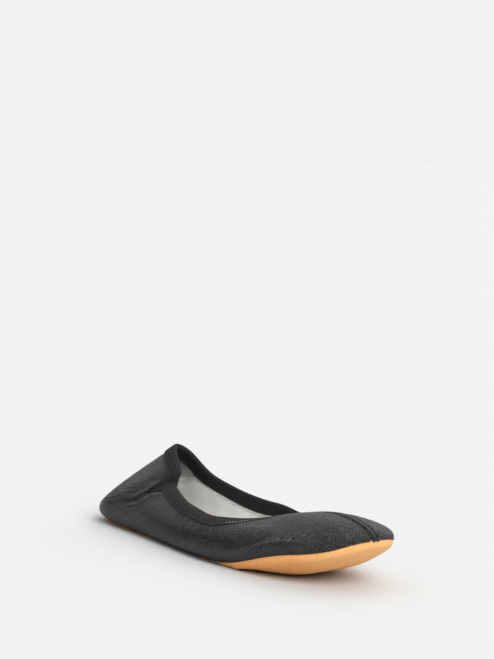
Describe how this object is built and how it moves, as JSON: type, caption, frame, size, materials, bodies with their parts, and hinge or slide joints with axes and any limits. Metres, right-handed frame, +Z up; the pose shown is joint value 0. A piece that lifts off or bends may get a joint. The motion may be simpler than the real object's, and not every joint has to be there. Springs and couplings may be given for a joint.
{
  "type": "gymnastics shoe",
  "caption": "Soft slip-on gymnastics shoe: hollow black leather upper with a slack heel and toe seam, ribbed elastic round the collar, thin insole and a cupped tan crepe sole with toe spring.",
  "frame": {"origin": "middle of the shoe's footprint, on the floor plane that heel and forefoot rest on", "axes": "+X from heel to toe, +Y towards the wearer's left, which is the inner side of this right shoe, +Z up"},
  "size_m": [0.2184, 0.0702, 0.0537],
  "materials": {
    "tan_crepe": "pale tan crepe rubber, fine crumb, nearly matt",
    "pale_sock": "pale grey-white woven cotton",
    "black_leather": "black soft leather, fine grain, low sheen",
    "black_elastic": "black ribbed elastic tape, matt"
  },
  "bodies": {
    "root": {"outsole": "tan_crepe", "insole": "pale_sock", "upper": "black_leather", "collar_elastic": "black_elastic"}
  },
  "joints": []
}
